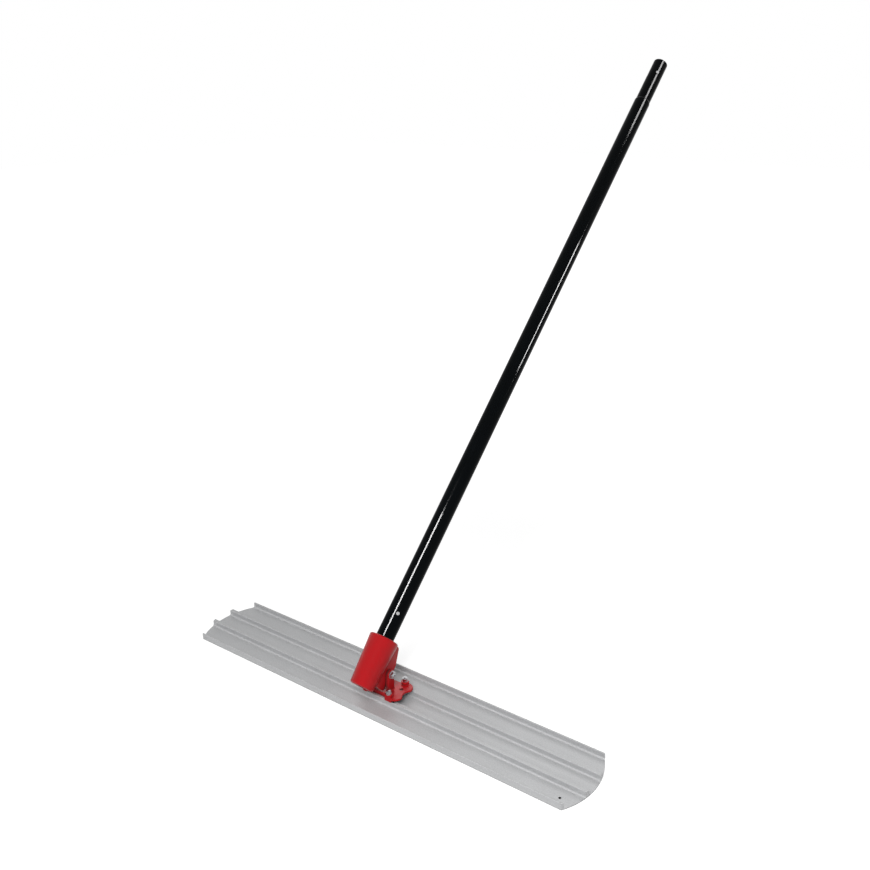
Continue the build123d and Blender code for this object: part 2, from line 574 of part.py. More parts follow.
def make_housing():
    housing = make_barrel() + make_hood()
    curved = housing.edges().filter_by(lambda e: e.geom_type not in (GeomType.LINE, GeomType.CIRCLE))
    meeting = curved.filter_by(lambda e: e.length > CENTRE_DISTANCE / 2)
    housing = fillet(meeting, HOOD_BLEND)
    mouth_front = CENTRE_DISTANCE - BARREL_TOP_RADIUS
    wheel_room = Pos(CENTRE_DISTANCE, 0) * Circle(HOOD_BORE)
    wheel_room += Pos(CENTRE_DISTANCE + HOOD_RADIUS, 0) * Rectangle(2 * HOOD_RADIUS, 4 * HOOD_RADIUS)
    mouth = Rectangle(2 * mouth_front, 2 * HOOD_RADIUS)
    wheel_room += Pos(CENTRE_DISTANCE, -HOOD_MOUTH - HOOD_RADIUS) * mouth
    housing -= extrude(Plane.YZ * wheel_room, CHEEK_INNER, both=True)
    housing -= rod(CHAMBER_RADIUS, CHAMBER_FLOOR, BARREL_TOP + 1)
    housing -= rod(UPPER_BUSH_RADIUS, BUSH_SEAT, BARREL_TOP + 1)
    housing -= rod(LOWER_BUSH_RADIUS, BARREL_FOOT, CHAMBER_FLOOR + 1)
    housing -= rod(FOOT_RECESS_RADIUS, BARREL_FOOT - 1, RECESS_CEILING)
    housing -= Pos(0, CENTRE_DISTANCE, 0) * cross_rod(PIVOT_BUSH_RADIUS, 2 * CHEEK_OUTER)
    return on_pole(housing)


def make_pivot_bushes():
    bush = ring(PIVOT_BUSH_RADIUS, AXLE_RADIUS + RUNNING_CLEARANCE, CHEEK_INNER, CHEEK_OUTER)
    return [at_axle(bush), at_axle(Pos(0, 0, -CHEEK_INNER - CHEEK_OUTER) * bush)]


def make_lower_bush():
    bush = rod(LOWER_BUSH_RADIUS, RECESS_CEILING, CHAMBER_FLOOR)
    bush += rod(LOWER_BUSH_RADIUS + 3, CHAMBER_FLOOR, THRUST_FOOT)
    bush -= rod(WORM_JOURNAL_RADIUS + RUNNING_CLEARANCE, BARREL_FOOT, 0)
    return on_pole(bush)


def make_upper_bush():
    return on_pole(ring(UPPER_BUSH_RADIUS, TUBE_RADIUS + RUNNING_CLEARANCE, BUSH_SEAT, SEAL_SEAT))


def make_seal():
    top = SEAL_SEAT + SEAL_HEIGHT
    seal = rod(UPPER_BUSH_RADIUS, SEAL_SEAT, top)
    seal = chamfer(seal.faces().sort_by(Axis.Z)[-1].edges(), SEAL_PROUD * 0.9)
    return on_pole(seal - rod(TUBE_RADIUS + SEAL_GAP, SEAL_SEAT - 1, top + 1))


def make_thrust_washer():
    outer = LOWER_BUSH_RADIUS + 2
    return on_pole(ring(outer, WORM_JOURNAL_RADIUS + 0.2, THRUST_FOOT, THRUST_FOOT + THRUST_THICKNESS))


def make_retainer_washer():
    outer = LOWER_BUSH_RADIUS + 1.5
    return on_pole(ring(outer, WORM_JOURNAL_RADIUS + 0.2, RETAINER_FOOT, RETAINER_FOOT + RETAINER_THICKNESS))


def make_retaining_ring():
    outer = WORM_JOURNAL_RADIUS + 3
    clip = ring(outer, WORM_JOURNAL_RADIUS - 1 + SHIM, RING_FOOT, RING_FOOT + RING_THICKNESS)
    mouth = Box(WORM_JOURNAL_RADIUS, 2 * outer, 4 * RING_THICKNESS)
    return on_pole(clip - Pos(0, outer, RING_FOOT) * mouth)


# Pole and adapter
def make_adapter():
    floor = TUBE_FOOT + STUB_FLOOR
    top = TUBE_FOOT + STUB_LENGTH
    stub = rod(STUB_RADIUS, TUBE_FOOT, top)
    stub = chamfer(stub.faces().sort_by(Axis.Z)[-1].edges(), 1.5)
    adapter = stub + rod(FLANGE_RADIUS, FLANGE_FOOT, TUBE_FOOT)
    adapter += rod(ADAPTER_NECK_RADIUS, NECK_FOOT, FLANGE_FOOT)
    adapter -= rod(STUB_BORE, floor, top + 1)
    adapter -= rod(WORM_JOURNAL_RADIUS + SHIM, 0, floor + 1)
    adapter -= button_hole(LOWER_BUTTON_HEIGHT)
    adapter -= adapter_pin_hole()
    return on_pole(adapter)


def button_hole(height):
    """Hole from the axis outwards, through one side only."""
    return radial_plane(height) * rod(BUTTON_HOLE_DIAMETER / 2, 0, TUBE_DIAMETER)


def make_tube():
    shoulder = SWAGE_FOOT - SWAGE_RUN
    outline = Polyline(
        (TUBE_BORE, TUBE_FOOT),
        (TUBE_RADIUS - TUBE_EDGE, TUBE_FOOT),
        (TUBE_RADIUS, TUBE_FOOT + TUBE_EDGE),
        (TUBE_RADIUS, shoulder),
        (SWAGE_RADIUS, SWAGE_FOOT),
        (SWAGE_RADIUS, LEAD_FOOT),
        (LEAD_RADIUS, LEAD_FOOT + SWAGE_RELIEF),
        (LEAD_RADIUS, TUBE_TIP - TUBE_EDGE),
        (LEAD_RADIUS - TUBE_EDGE, TUBE_TIP),
        (SWAGE_BORE, TUBE_TIP),
        (SWAGE_BORE, SWAGE_FOOT),
        (TUBE_BORE, shoulder),
        (TUBE_BORE, TUBE_FOOT),
    )
    tube = revolve(Plane.XZ * make_face(outline), Axis.Z)
    tube -= button_hole(LOWER_BUTTON_HEIGHT)
    tube -= button_hole(UPPER_BUTTON_HEIGHT)
    return on_pole(tube)


# Snap buttons and their leaf clips
def flange_top(bore):
    """Where a button's flange comes to rest against the wall of a bore."""
    return sqrt(bore**2 - (BUTTON_FLANGE_DIAMETER / 2) ** 2) - BUTTON_FLANGE_GAP


def make_button(height, bore, surface):
    rest = flange_top(bore)
    button = rod(BUTTON_DIAMETER / 2, rest, surface + BUTTON_PROUD)
    button = fillet(button.faces().sort_by(Axis.Z)[-1].edges(), BUTTON_DOME)
    button += rod(BUTTON_FLANGE_DIAMETER / 2, rest - BUTTON_FLANGE_HEIGHT, rest)
    return on_pole(radial_plane(height) * button)


def make_clip(height, bore):
    """Leaf clip bent to a V: one arm behind the button, the other on the far wall."""
    near = flange_top(bore) - BUTTON_FLANGE_HEIGHT - CLIP_GAP - CLIP_THICKNESS / 2
    far = -sqrt(bore**2 - (CLIP_WIDTH / 2) ** 2) + CLIP_GAP + CLIP_THICKNESS / 2
    path = FilletPolyline(
        (CLIP_PAD, near),
        (-CLIP_PAD, near),
        (-CLIP_REACH, (near + far) / 2),
        (-CLIP_PAD, far),
        (CLIP_PAD, far),
        radius=CLIP_BEND,
    )
    strip = Plane.XZ * trace(path, CLIP_THICKNESS)
    return on_pole(radial_plane(height) * extrude(strip, CLIP_WIDTH / 2, both=True))


PIECES = {
    "float_blade": make_blade(),
    "base_bracket": make_base(),
    "bracket_studs": make_studs(),
    "bracket_nuts": make_nuts(),
    "bracket_lock_washers": make_lock_washers(),
    "bracket_washers": make_bolt_washers(),
    "pivot_axle": make_axle(),
    "pivot_nut": make_axle_nut(),
    "pivot_washers": make_axle_washers(),
    "worm_wheel": make_wheel(),
    "wheel_key": make_key(),
    "gear_housing": make_housing(),
    "pivot_bushes": make_pivot_bushes(),
    "lower_bush": make_lower_bush(),
    "upper_bush": make_upper_bush(),
    "pole_seal": make_seal(),
    "thrust_washer": make_thrust_washer(),
    "retainer_washer": make_retainer_washer(),
    "worm_screw": make_worm(),
    "retaining_ring": make_retaining_ring(),
    "handle_adapter": make_adapter(),
    "adapter_pin": make_adapter_pin(),
    "pole_tube": make_tube(),
    "lower_button": make_button(LOWER_BUTTON_HEIGHT, STUB_BORE, TUBE_RADIUS),
    "lower_button_spring": make_clip(LOWER_BUTTON_HEIGHT, STUB_BORE),
    "upper_button": make_button(UPPER_BUTTON_HEIGHT, SWAGE_BORE, LEAD_RADIUS),
    "upper_button_spring": make_clip(UPPER_BUTTON_HEIGHT, SWAGE_BORE),
}

os.makedirs("parts", exist_ok=True)
for name, shape in PIECES.items():
    solids = shape if isinstance(shape, list) else [shape]
    whole = [solid for item in solids for solid in item.solids()]
    export_step(Compound(children=whole) if len(whole) > 1 else whole[0], f"parts/{name}.step")
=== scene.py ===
# %% [markdown]
# # A bull float, dressed for its portrait
# The float is a long aluminium blade that smooths wet concrete, a cast bracket bolted to its middle, and a black
# tube pole. Twisting the pole turns a worm in the bracket, and the blade tilts. The solids come from the packed
# model, so this lesson starts by loading them as a fixed frame.

# %% Load the frame
import json
import math

import bmesh
import bpy
from mathutils import Matrix, Vector


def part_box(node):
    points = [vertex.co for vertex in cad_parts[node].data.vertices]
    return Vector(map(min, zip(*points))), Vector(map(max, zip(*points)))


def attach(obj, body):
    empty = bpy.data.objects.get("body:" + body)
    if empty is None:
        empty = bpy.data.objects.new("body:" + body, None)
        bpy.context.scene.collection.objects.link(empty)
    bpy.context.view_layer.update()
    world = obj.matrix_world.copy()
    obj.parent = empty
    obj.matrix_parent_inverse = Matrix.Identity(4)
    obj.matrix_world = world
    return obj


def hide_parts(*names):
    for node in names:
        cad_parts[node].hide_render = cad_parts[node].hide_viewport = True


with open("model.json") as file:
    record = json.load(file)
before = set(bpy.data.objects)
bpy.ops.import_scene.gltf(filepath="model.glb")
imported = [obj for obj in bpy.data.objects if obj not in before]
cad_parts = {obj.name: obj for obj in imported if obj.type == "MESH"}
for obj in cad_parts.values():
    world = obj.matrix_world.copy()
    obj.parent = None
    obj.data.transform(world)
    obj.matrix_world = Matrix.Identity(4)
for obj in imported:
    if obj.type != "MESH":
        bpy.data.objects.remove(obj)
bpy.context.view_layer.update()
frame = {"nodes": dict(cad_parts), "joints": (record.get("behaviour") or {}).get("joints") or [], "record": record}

# %% [markdown]
# ## Camera
# The picture was taken from the front right, a little above the pole's foot. A camera can be aimed with a target,
# but here its yaw, pitch and roll were worked out from straight edges, so its axes are written as a matrix.

# %% Camera
CAMERA_PLACE = Vector((1.3877, -1.6310, 1.5597))
CAMERA_YAW = math.radians(36.68)
CAMERA_PITCH = math.radians(21.52)
CAMERA_ROLL = math.radians(-0.73)
CAMERA_LENS = 40.934
UP = Vector((0, 0, 1))


def camera_matrix():
    """Place and axes of the camera: X to the right of the picture, Y up it, Z back towards the eye."""
    ahead = Vector((-math.sin(CAMERA_YAW), math.cos(CAMERA_YAW), 0))
    right = Vector((math.cos(CAMERA_YAW), math.sin(CAMERA_YAW), 0))
    forward = ahead * math.cos(CAMERA_PITCH) - UP * math.sin(CAMERA_PITCH)
    over = ahead * math.sin(CAMERA_PITCH) + UP * math.cos(CAMERA_PITCH)
    across = right * math.cos(CAMERA_ROLL) + over * math.sin(CAMERA_ROLL)
    upward = over * math.cos(CAMERA_ROLL) - right * math.sin(CAMERA_ROLL)
    turned = Matrix((across, upward, -forward)).transposed().to_4x4()
    return Matrix.Translation(CAMERA_PLACE) @ turned


scene = bpy.context.scene
camera_data = bpy.data.cameras.new("photo_camera")
camera_data.lens = CAMERA_LENS
camera_data.sensor_width = 36.0
camera_data.clip_end = 60.0
camera = bpy.data.objects.new("photo_camera", camera_data)
camera.matrix_world = camera_matrix()
scene.collection.objects.link(camera)
scene.camera = camera
scene.view_settings.view_transform = "Standard"
print("Camera at", tuple(camera.location))

# %% [markdown]
# ## Studio
# A product picture on white needs three things: a white surround that metal can mirror, soft light from large
# panels, and a floor that still takes a shadow. The surround is the world, made white for the rays that see or
# mirror it, and dimmer for the rays that light the object.

# %% World
SURROUND_FILL = 0.17

world = bpy.data.worlds.new("white_surround")
world.use_nodes = True
scene.world = world


def add_node(tree, kind, place, **sockets):
    """Add a node and set some of its input sockets by name."""
    node = tree.nodes.new(kind)
    node.location = place
    for name, value in sockets.items():
        node.inputs[name.replace("_", " ")].default_value = value
    return node


def math_node(tree, operation, place, first, second):
    """A Math node; each of its two inputs is a socket or a plain number."""
    node = add_node(tree, "ShaderNodeMath", place)
    node.operation = operation
    for index, value in enumerate((first, second)):
        if isinstance(value, bpy.types.NodeSocket):
            tree.links.new(value, node.inputs[index])
        else:
            node.inputs[index].default_value = value
    return node.outputs[0]


def seen_or_mirrored(tree, x):
    """A value that is 1 for camera, glossy and transmission rays."""
    path = add_node(tree, "ShaderNodeLightPath", (x, 300)).outputs
    first = math_node(tree, "MAXIMUM", (x + 200, 300), path["Is Camera Ray"], path["Is Glossy Ray"])
    return math_node(tree, "MAXIMUM", (x + 400, 300), first, path["Is Transmission Ray"])


tree = world.node_tree
tree.nodes.clear()
fill = add_node(tree, "ShaderNodeBackground", (0, 100), Color=(1, 1, 1, 1), Strength=SURROUND_FILL)
white = add_node(tree, "ShaderNodeBackground", (0, -100), Color=(1, 1, 1, 1), Strength=1.0)
choice = add_node(tree, "ShaderNodeMixShader", (250, 0))
world_out = add_node(tree, "ShaderNodeOutputWorld", (450, 0))
tree.links.new(seen_or_mirrored(tree, -700), choice.inputs[0])
tree.links.new(fill.outputs[0], choice.inputs[1])
tree.links.new(white.outputs[0], choice.inputs[2])
tree.links.new(choice.outputs[0], world_out.inputs[0])
print("World fill", SURROUND_FILL)

# %% [markdown]
# The floor is one large pale square. Near the float it is matte white with a little glow for the camera, so the open
# floor reaches white and the shadow under the blade stays. Further out the lamps fade, so there the glow takes over
# and the floor runs into the white surround without a horizon. Right under the blade the floor is painted nearly
# black as a painted shadow, and nothing glows there, so the small hanging hole looks down into black.

# %% Floor
FLOOR_HALF = 12.0
FLOOR_DROP = 0.0004
FLOOR_GLOW = 0.75
GLOW_STARTS = 0.9
GLOW_FULL = 2.4
# Size and near-black tone of the painted shadow on the floor under the blade.
SHADE_PATCH_X = 0.58
SHADE_PATCH_Y = 0.09
UNDER_BLADE_SHADE_TONE = 0.02
FLOOR_TONE = 0.7

floor_mesh = bpy.data.meshes.new("studio_floor")
shape = bmesh.new()
bmesh.ops.create_grid(shape, x_segments=1, y_segments=1, size=FLOOR_HALF)
bmesh.ops.translate(shape, verts=shape.verts, vec=(0, 0, -FLOOR_DROP))
shape.to_mesh(floor_mesh)
shape.free()
floor = bpy.data.objects.new("studio_floor", floor_mesh)
scene.collection.objects.link(floor)
floor_paint = bpy.data.materials.new("floor_white")
floor_paint.use_nodes = True
tree = floor_paint.node_tree
tree.nodes.clear()
place = add_node(tree, "ShaderNodeTexCoord", (-1500, -200))
away = add_node(tree, "ShaderNodeVectorMath", (-1300, -100))
away.operation = "LENGTH"
tree.links.new(place.outputs["Object"], away.inputs[0])
ramp = add_node(tree, "ShaderNodeMapRange", (-1100, -100), From_Min=GLOW_STARTS, From_Max=GLOW_FULL)
ramp.interpolation_type = "SMOOTHSTEP"
ramp.inputs["To Min"].default_value = FLOOR_GLOW
tree.links.new(away.outputs["Value"], ramp.inputs["Value"])
split = add_node(tree, "ShaderNodeSeparateXYZ", (-1300, -400))
tree.links.new(place.outputs["Object"], split.inputs[0])
# Inside the rectangle under the blade the floor gets a near-black tone and no glow: a painted shadow.
beyond_x = math_node(tree, "GREATER_THAN", (-900, -350), math_node(
    tree, "ABSOLUTE", (-1100, -350), split.outputs["X"], 0.0), SHADE_PATCH_X)
beyond_y = math_node(tree, "GREATER_THAN", (-900, -550), math_node(
    tree, "ABSOLUTE", (-1100, -550), split.outputs["Y"], 0.0), SHADE_PATCH_Y)
outside_shade_patch = math_node(tree, "MAXIMUM", (-700, -450), beyond_x, beyond_y)
glowing = math_node(tree, "MULTIPLY", (-450, -250), ramp.outputs[0], outside_shade_patch)
strength = math_node(tree, "MULTIPLY", (-250, -100), seen_or_mirrored(tree, -900), glowing)
tone = add_node(tree, "ShaderNodeMapRange", (-250, 150), To_Min=UNDER_BLADE_SHADE_TONE, To_Max=FLOOR_TONE)
tree.links.new(outside_shade_patch, tone.inputs["Value"])
matte = add_node(tree, "ShaderNodeBsdfDiffuse", (0, 100))
tree.links.new(tone.outputs[0], matte.inputs["Color"])
glow = add_node(tree, "ShaderNodeEmission", (0, -100))
tree.links.new(strength, glow.inputs["Strength"])
both = add_node(tree, "ShaderNodeAddShader", (250, 0))
floor_out = add_node(tree, "ShaderNodeOutputMaterial", (450, 0))
tree.links.new(matte.outputs[0], both.inputs[0])
tree.links.new(glow.outputs[0], both.inputs[1])
tree.links.new(both.outputs[0], floor_out.inputs[0])
floor_mesh.materials.append(floor_paint)
print("Floor half width", FLOOR_HALF)

# %% [markdown]
# One panel, high in front, and the surround do the lighting. The panel isn't mirrored, or it would draw a grey
# band along the pole. The other panels are like the white cards that a product photographer props up, and only
# show in gloss surfaces. A gloss tube draws a card as a line along its length: two cards draw the thin lines on
# the pole and one the soft patch near its tip. Light linking keeps these three on the pole, as flags would in a
# studio. Two more are kept on the blade, one for the sheen of its right half and one for the bright lines at the
# roots of its ribs. The last is kept on the bracket and the pivot's nut.

# %% Lamps
def add_panel(name, place, aim, size, size_y, power, along=(0, 1, 0), shows_in=()):
    """A rectangular lamp facing a point: it lights the object, or only shows in the gloss of some nodes."""
    lamp = bpy.data.lights.new(name, "AREA")
    lamp.shape = "RECTANGLE"
    lamp.size = size
    lamp.size_y = size_y
    lamp.energy = power
    holder = bpy.data.objects.new(name, lamp)
    back = (Vector(place) - Vector(aim)).normalized()
    side = Vector(along).cross(back).normalized()
    turned = Matrix((side, back.cross(side), back)).transposed().to_4x4()
    holder.matrix_world = Matrix.Translation(place) @ turned
    holder.visible_diffuse = not shows_in
    holder.visible_glossy = bool(shows_in)
    scene.collection.objects.link(holder)
    if shows_in:
        receivers = bpy.data.collections.new(name + "_receivers")
        for node in shows_in:
            receivers.objects.link(frame["nodes"][node])
        holder.light_linking.receiver_collection = receivers


TUBE = ("pole_tube",)
HEAD = ("float_blade",)
BRACKET = ("base_bracket", "gear_housing", "pivot_nut", "pivot_washers")
add_panel("key_panel", (0.95, -1.75, 2.15), aim=(0.1, 0, 0), size=1.2, size_y=1.2, power=53)
add_panel(
    "pole_foot_card", (0.24, -1.52, 2.76), aim=(0, 0.14, 0.28), size=0.65, size_y=0.74, power=620,
    along=(0, 0.786, 0.618), shows_in=TUBE)
add_panel(
    "pole_middle_card", (2.65, 1.68, 1.80), aim=(0, 0.76, 0.87), size=0.45, size_y=0.8, power=330,
    along=(-0.21, 0.70, 0.67), shows_in=TUBE)
add_panel(
    "pole_tip_card", (1.87, 1.81, 3.63), aim=(0, 1.32, 1.39), size=0.9, size_y=0.5, power=170,
    along=(-0.3, 0.85, 0.4), shows_in=TUBE)
add_panel(
    "blade_card", (-0.65, 2.4, 2.3), aim=(0.55, 0, 0), size=1.6, size_y=1.2, power=18,
    along=(1, 0, 0), shows_in=HEAD)
add_panel(
    "root_card", (-0.55, -2.0, 2.0), aim=(0.5, 0, 0), size=0.9, size_y=0.9, power=16,
    along=(1, 0, 0), shows_in=HEAD)
add_panel(
    "bracket_card", (-1.6, 1.9, 1.6), aim=(0.05, 0, 0.03), size=1.2, size_y=1.2, power=12,
    along=(1, 0, 0), shows_in=BRACKET)

# %% [markdown]
# ## Finishes
# First come small shader groups that several finishes share. A mottle group gives slow patches of tone, as any real
# surface has.

# %% Mottle group
def new_group(name, inputs, outputs):
    """Start a shader node group; inputs are (name, kind, default), outputs are (name, kind)."""
    group = bpy.data.node_groups.new(name, "ShaderNodeTree")
    for label, kind, value in inputs:
        socket = group.interface.new_socket(label, in_out="INPUT", socket_type=kind)
        socket.default_value = value
    for label, kind in outputs:
        group.interface.new_socket(label, in_out="OUTPUT", socket_type=kind)
    entry = group.nodes.new("NodeGroupInput")
    entry.location = (-900, 0)
    leave = group.nodes.new("NodeGroupOutput")
    leave.location = (700, 0)
    return group, entry, leave


FLOAT = "NodeSocketFloat"
COLOR = "NodeSocketColor"
VECTOR = "NodeSocketVector"


def build_mottle():
    """Slow patches of tone about one colour, and the same patches as a mask."""
    group, entry, leave = new_group(
        "slow_mottle",
        [("Color", COLOR, (0.5, 0.5, 0.5, 1)), ("Scale", FLOAT, 20.0), ("Depth", FLOAT, 0.1)],
        [("Color", COLOR), ("Mask", FLOAT)],
    )
    place = add_node(group, "ShaderNodeTexCoord", (-900, 300))
    noise = add_node(group, "ShaderNodeTexNoise", (-600, 200), Detail=4.0, Roughness=0.55)
    group.links.new(place.outputs["Object"], noise.inputs["Vector"])
    group.links.new(entry.outputs["Scale"], noise.inputs["Scale"])
    centred = math_node(group, "SUBTRACT", (-350, 200), noise.outputs["Fac"], 0.5)
    swing = math_node(group, "MULTIPLY", (-150, 200), centred, entry.outputs["Depth"])
    level = math_node(group, "ADD", (0, 200), swing, 1.0)
    tint = add_node(group, "ShaderNodeVectorMath", (200, 100))
    tint.operation = "SCALE"
    group.links.new(entry.outputs["Color"], tint.inputs[0])
    group.links.new(level, tint.inputs["Scale"])
    group.links.new(tint.outputs[0], leave.inputs["Color"])
    group.links.new(noise.outputs["Fac"], leave.inputs["Mask"])
    return group


MOTTLE = build_mottle()
print("Group:", MOTTLE.name)

# %% [markdown]
# A streak group gives fine lines along one direction, as an extrusion die, a drawing die or a polishing belt leaves
# them. It is noise that is squeezed across the lines and stretched along them, and it can be turned first, because
# the pole leans.

# %% Streak group
def build_streaks():
    """Fine lines along one axis: the stretch is small along the lines and large across them."""
    group, entry, leave = new_group(
        "fine_streaks",
        [("Turn", VECTOR, (0.0, 0.0, 0.0)), ("Stretch", VECTOR, (1.0, 300.0, 300.0)), ("Roughness", FLOAT, 0.6)],
        [("Lines", FLOAT)],
    )
    place = add_node(group, "ShaderNodeTexCoord", (-900, 300))
    turned = add_node(group, "ShaderNodeMapping", (-700, 300))
    group.links.new(place.outputs["Object"], turned.inputs["Vector"])
    group.links.new(entry.outputs["Turn"], turned.inputs["Rotation"])
    scaled = add_node(group, "ShaderNodeVectorMath", (-450, 200))
    scaled.operation = "MULTIPLY"
    group.links.new(turned.outputs[0], scaled.inputs[0])
    group.links.new(entry.outputs["Stretch"], scaled.inputs[1])
    noise = add_node(group, "ShaderNodeTexNoise", (-200, 200), Scale=1.0, Detail=5.0)
    group.links.new(scaled.outputs[0], noise.inputs["Vector"])
    group.links.new(entry.outputs["Roughness"], noise.inputs["Roughness"])
    group.links.new(noise.outputs["Fac"], leave.inputs["Lines"])
    return group


STREAKS = build_streaks()
print("Group:", STREAKS.name)

# %% [markdown]
# Paint thins over an edge and metal brightens there, because that is where boards and gloves rub; on the red paint
# the lighter edge also stands in for a painted edge highlight. The Bevel node gives the normal that a rounded edge
# would have. Where it differs from the surface's own normal there is an edge, and noise breaks the band up so that
# it doesn't look drawn on.

# %% Edge group
EDGE_STARTS = 0.008
EDGE_FULL = 0.07


def build_edges():
    """A broken band along the edges, 0 on open faces and up to 1 on an edge."""
    group, entry, leave = new_group(
        "edge_rub",
        [("Width", FLOAT, 0.001), ("Grain", FLOAT, 300.0)],
        [("Mask", FLOAT)],
    )
    rounded = add_node(group, "ShaderNodeBevel", (-650, 300))
    rounded.samples = 8
    group.links.new(entry.outputs["Width"], rounded.inputs["Radius"])
    own = add_node(group, "ShaderNodeNewGeometry", (-650, 100))
    alike = add_node(group, "ShaderNodeVectorMath", (-450, 200))
    alike.operation = "DOT_PRODUCT"
    group.links.new(rounded.outputs["Normal"], alike.inputs[0])
    group.links.new(own.outputs["Normal"], alike.inputs[1])
    differs = math_node(group, "SUBTRACT", (-250, 200), 1.0, alike.outputs["Value"])
    place = add_node(group, "ShaderNodeTexCoord", (-650, -200))
    noise = add_node(group, "ShaderNodeTexNoise", (-450, -200), Detail=3.0)
    group.links.new(place.outputs["Object"], noise.inputs["Vector"])
    group.links.new(entry.outputs["Grain"], noise.inputs["Scale"])
    broken = math_node(group, "MULTIPLY", (-50, 100), differs, noise.outputs["Fac"])
    band = add_node(group, "ShaderNodeMapRange", (150, 100), From_Min=EDGE_STARTS, From_Max=EDGE_FULL)
    group.links.new(broken, band.inputs["Value"])
    group.links.new(band.outputs[0], leave.inputs["Mask"])
    return group


EDGES = build_edges()
print("Group:", EDGES.name)

# %% [markdown]
# Painted shade darkens the colour in holes, under the bracket and along the sole, where little light reaches. The
# Ambient Occlusion node finds such places: it measures how much of the open surround a point sees within a short
# reach.

# %% Grime group
# Painted shade: the colour that hollows and corners are darkened towards.
PAINTED_SHADE_COLOR = (0.03, 0.03, 0.029)
PAINTED_SHADE_STARTS = 0.6


def build_painted_shade():
    """A mask that is 0 in the open and 1 where no more than the Full share is open."""
    group, entry, leave = new_group(
        "corner_painted_shade",
        [("Reach", FLOAT, 0.008), ("Full", FLOAT, 0.35)],
        [("Mask", FLOAT)],
    )
    open_share = add_node(group, "ShaderNodeAmbientOcclusion", (-500, 0))
    open_share.samples = 8
    group.links.new(entry.outputs["Reach"], open_share.inputs["Distance"])
    deep = add_node(group, "ShaderNodeMapRange", (-200, 0), From_Min=PAINTED_SHADE_STARTS)
    group.links.new(entry.outputs["Full"], deep.inputs["From Max"])
    group.links.new(open_share.outputs["AO"], deep.inputs["Value"])
    group.links.new(deep.outputs[0], leave.inputs["Mask"])
    return group


PAINTED_SHADE = build_painted_shade()
print("Group:", PAINTED_SHADE.name)

# %% [markdown]
# Each finish is a Principled shader. What is the same all over is set on the shader, and what changes over the
# surface, such as tone, roughness and bump, comes from the groups.

# %% Finish helpers
NOISE_LOW = 0.3
NOISE_HIGH = 0.7


def new_finish(name):
    """An empty material with a Principled shader; returns the material, its tree and the shader."""
    finish = bpy.data.materials.new(name)
    finish.use_nodes = True
    tree = finish.node_tree
    tree.nodes.clear()
    shader = add_node(tree, "ShaderNodeBsdfPrincipled", (300, 0))
    out = add_node(tree, "ShaderNodeOutputMaterial", (600, 0))
    tree.links.new(shader.outputs[0], out.inputs[0])
    return finish, tree, shader


def place_group(tree, group, place, **values):
    """Put a shared group in a material, with its own values."""
    node = add_node(tree, "ShaderNodeGroup", place)
    node.node_tree = group
    for name, value in values.items():
        node.inputs[name].default_value = value
    return node


def spread(tree, value, low, high, place):
    """Map a noise mask onto a range."""
    node = add_node(
        tree, "ShaderNodeMapRange", place, From_Min=NOISE_LOW, From_Max=NOISE_HIGH, To_Min=low, To_Max=high)
    tree.links.new(value, node.inputs["Value"])
    return node.outputs[0]


def blend_colors(tree, factor, first, second, place):
    """Mix a colour socket with a second colour, socket or plain, by a mask."""
    node = add_node(tree, "ShaderNodeMix", place)
    node.data_type = "RGBA"
    factor_in, first_in, second_in = node.inputs[0], node.inputs[6], node.inputs[7]
    tree.links.new(factor, factor_in)
    tree.links.new(first, first_in)
    if isinstance(second, bpy.types.NodeSocket):
        tree.links.new(second, second_in)
    else:
        second_in.default_value = (*second, 1)
    return node.outputs[2]


def bump(tree, shader, height, strength, distance):
    """Raise the surface by a height mask."""
    node = add_node(tree, "ShaderNodeBump", (0, -300), Strength=strength, Distance=distance)
    tree.links.new(height, node.inputs["Height"])
    tree.links.new(node.outputs[0], shader.inputs["Normal"])


# %% [markdown]
# Bare metals share one recipe: a mottled tone, lines in the direction that the metal was drawn or turned, brighter
# edges, and a roughness that follows the lines.

# %% Metal recipe
LINE_HEIGHT = 0.00002
LINE_STRENGTH = 0.35
METAL_EDGE = 0.0006


def metal(name, color, edge_color, roughness, stretch, scale, depth):
    """Bare metal; roughness is a (low, high) pair and stretch gives the direction of its lines."""
    finish, tree, shader = new_finish(name)
    shader.inputs["Metallic"].default_value = 1.0
    tone = place_group(tree, MOTTLE, (-500, 200), Color=(*color, 1), Scale=scale, Depth=depth)
    lines = place_group(tree, STREAKS, (-500, -100), Stretch=stretch)
    edges = place_group(tree, EDGES, (-500, 450), Width=METAL_EDGE)
    surface = blend_colors(tree, edges.outputs["Mask"], tone.outputs["Color"], edge_color, (-150, 250))
    tree.links.new(surface, shader.inputs["Base Color"])
    tree.links.new(spread(tree, lines.outputs["Lines"], *roughness, (0, 0)), shader.inputs["Roughness"])
    bump(tree, shader, lines.outputs["Lines"], LINE_STRENGTH, LINE_HEIGHT)
    return finish


print("Recipe: metal")

# %% [markdown]
# Paint, nylon and rubber share another: a mottled colour, a fine skin such as a casting's grain under its paint, a
# lighter tone where the coat thins over an edge, which on the red paint is also a painted edge highlight, and
# painted shade in hollows.

# %% Coat recipe
SKIN_STRENGTH = 0.4
COAT_EDGE = 0.0012
COAT_GRAIN = 600.0


